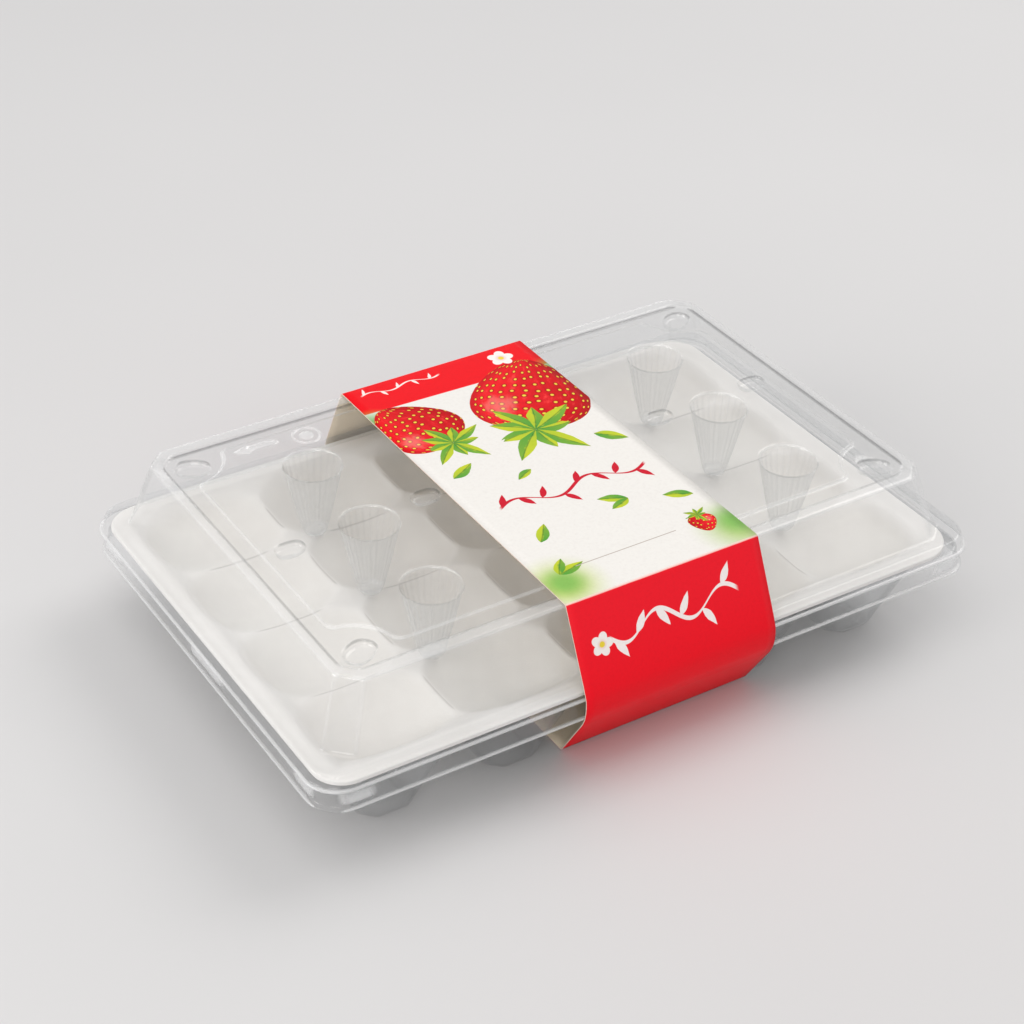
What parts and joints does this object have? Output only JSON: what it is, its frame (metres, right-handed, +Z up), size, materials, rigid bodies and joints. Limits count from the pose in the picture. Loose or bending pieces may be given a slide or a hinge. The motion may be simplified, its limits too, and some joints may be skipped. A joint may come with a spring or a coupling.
{
  "type": "berry clamshell container",
  "caption": "Shut clear plastic tray box for berries with a domed lid, soft white cell liner and a printed card sleeve round the middle.",
  "frame": {"origin": "centre of the footprint, on the surface the box stands on", "axes": "+X along the long side, +Y to the back, +Z up through the lid; the front is -Y"},
  "size_m": [0.2916, 0.1962, 0.0706],
  "materials": {
    "tray_film": "thin clear vacuum-formed sheet, glossy",
    "liner_pad": "soft white moulded pad, matt",
    "lid_film": "thin clear vacuum-formed sheet, glossy, with moulded ribs",
    "sleeve_card": "printed coated card, cream inside"
  },
  "bodies": {
    "root": {"tray": "tray_film", "liner": "liner_pad", "lid": "lid_film", "sleeve": "sleeve_card"}
  },
  "joints": []
}
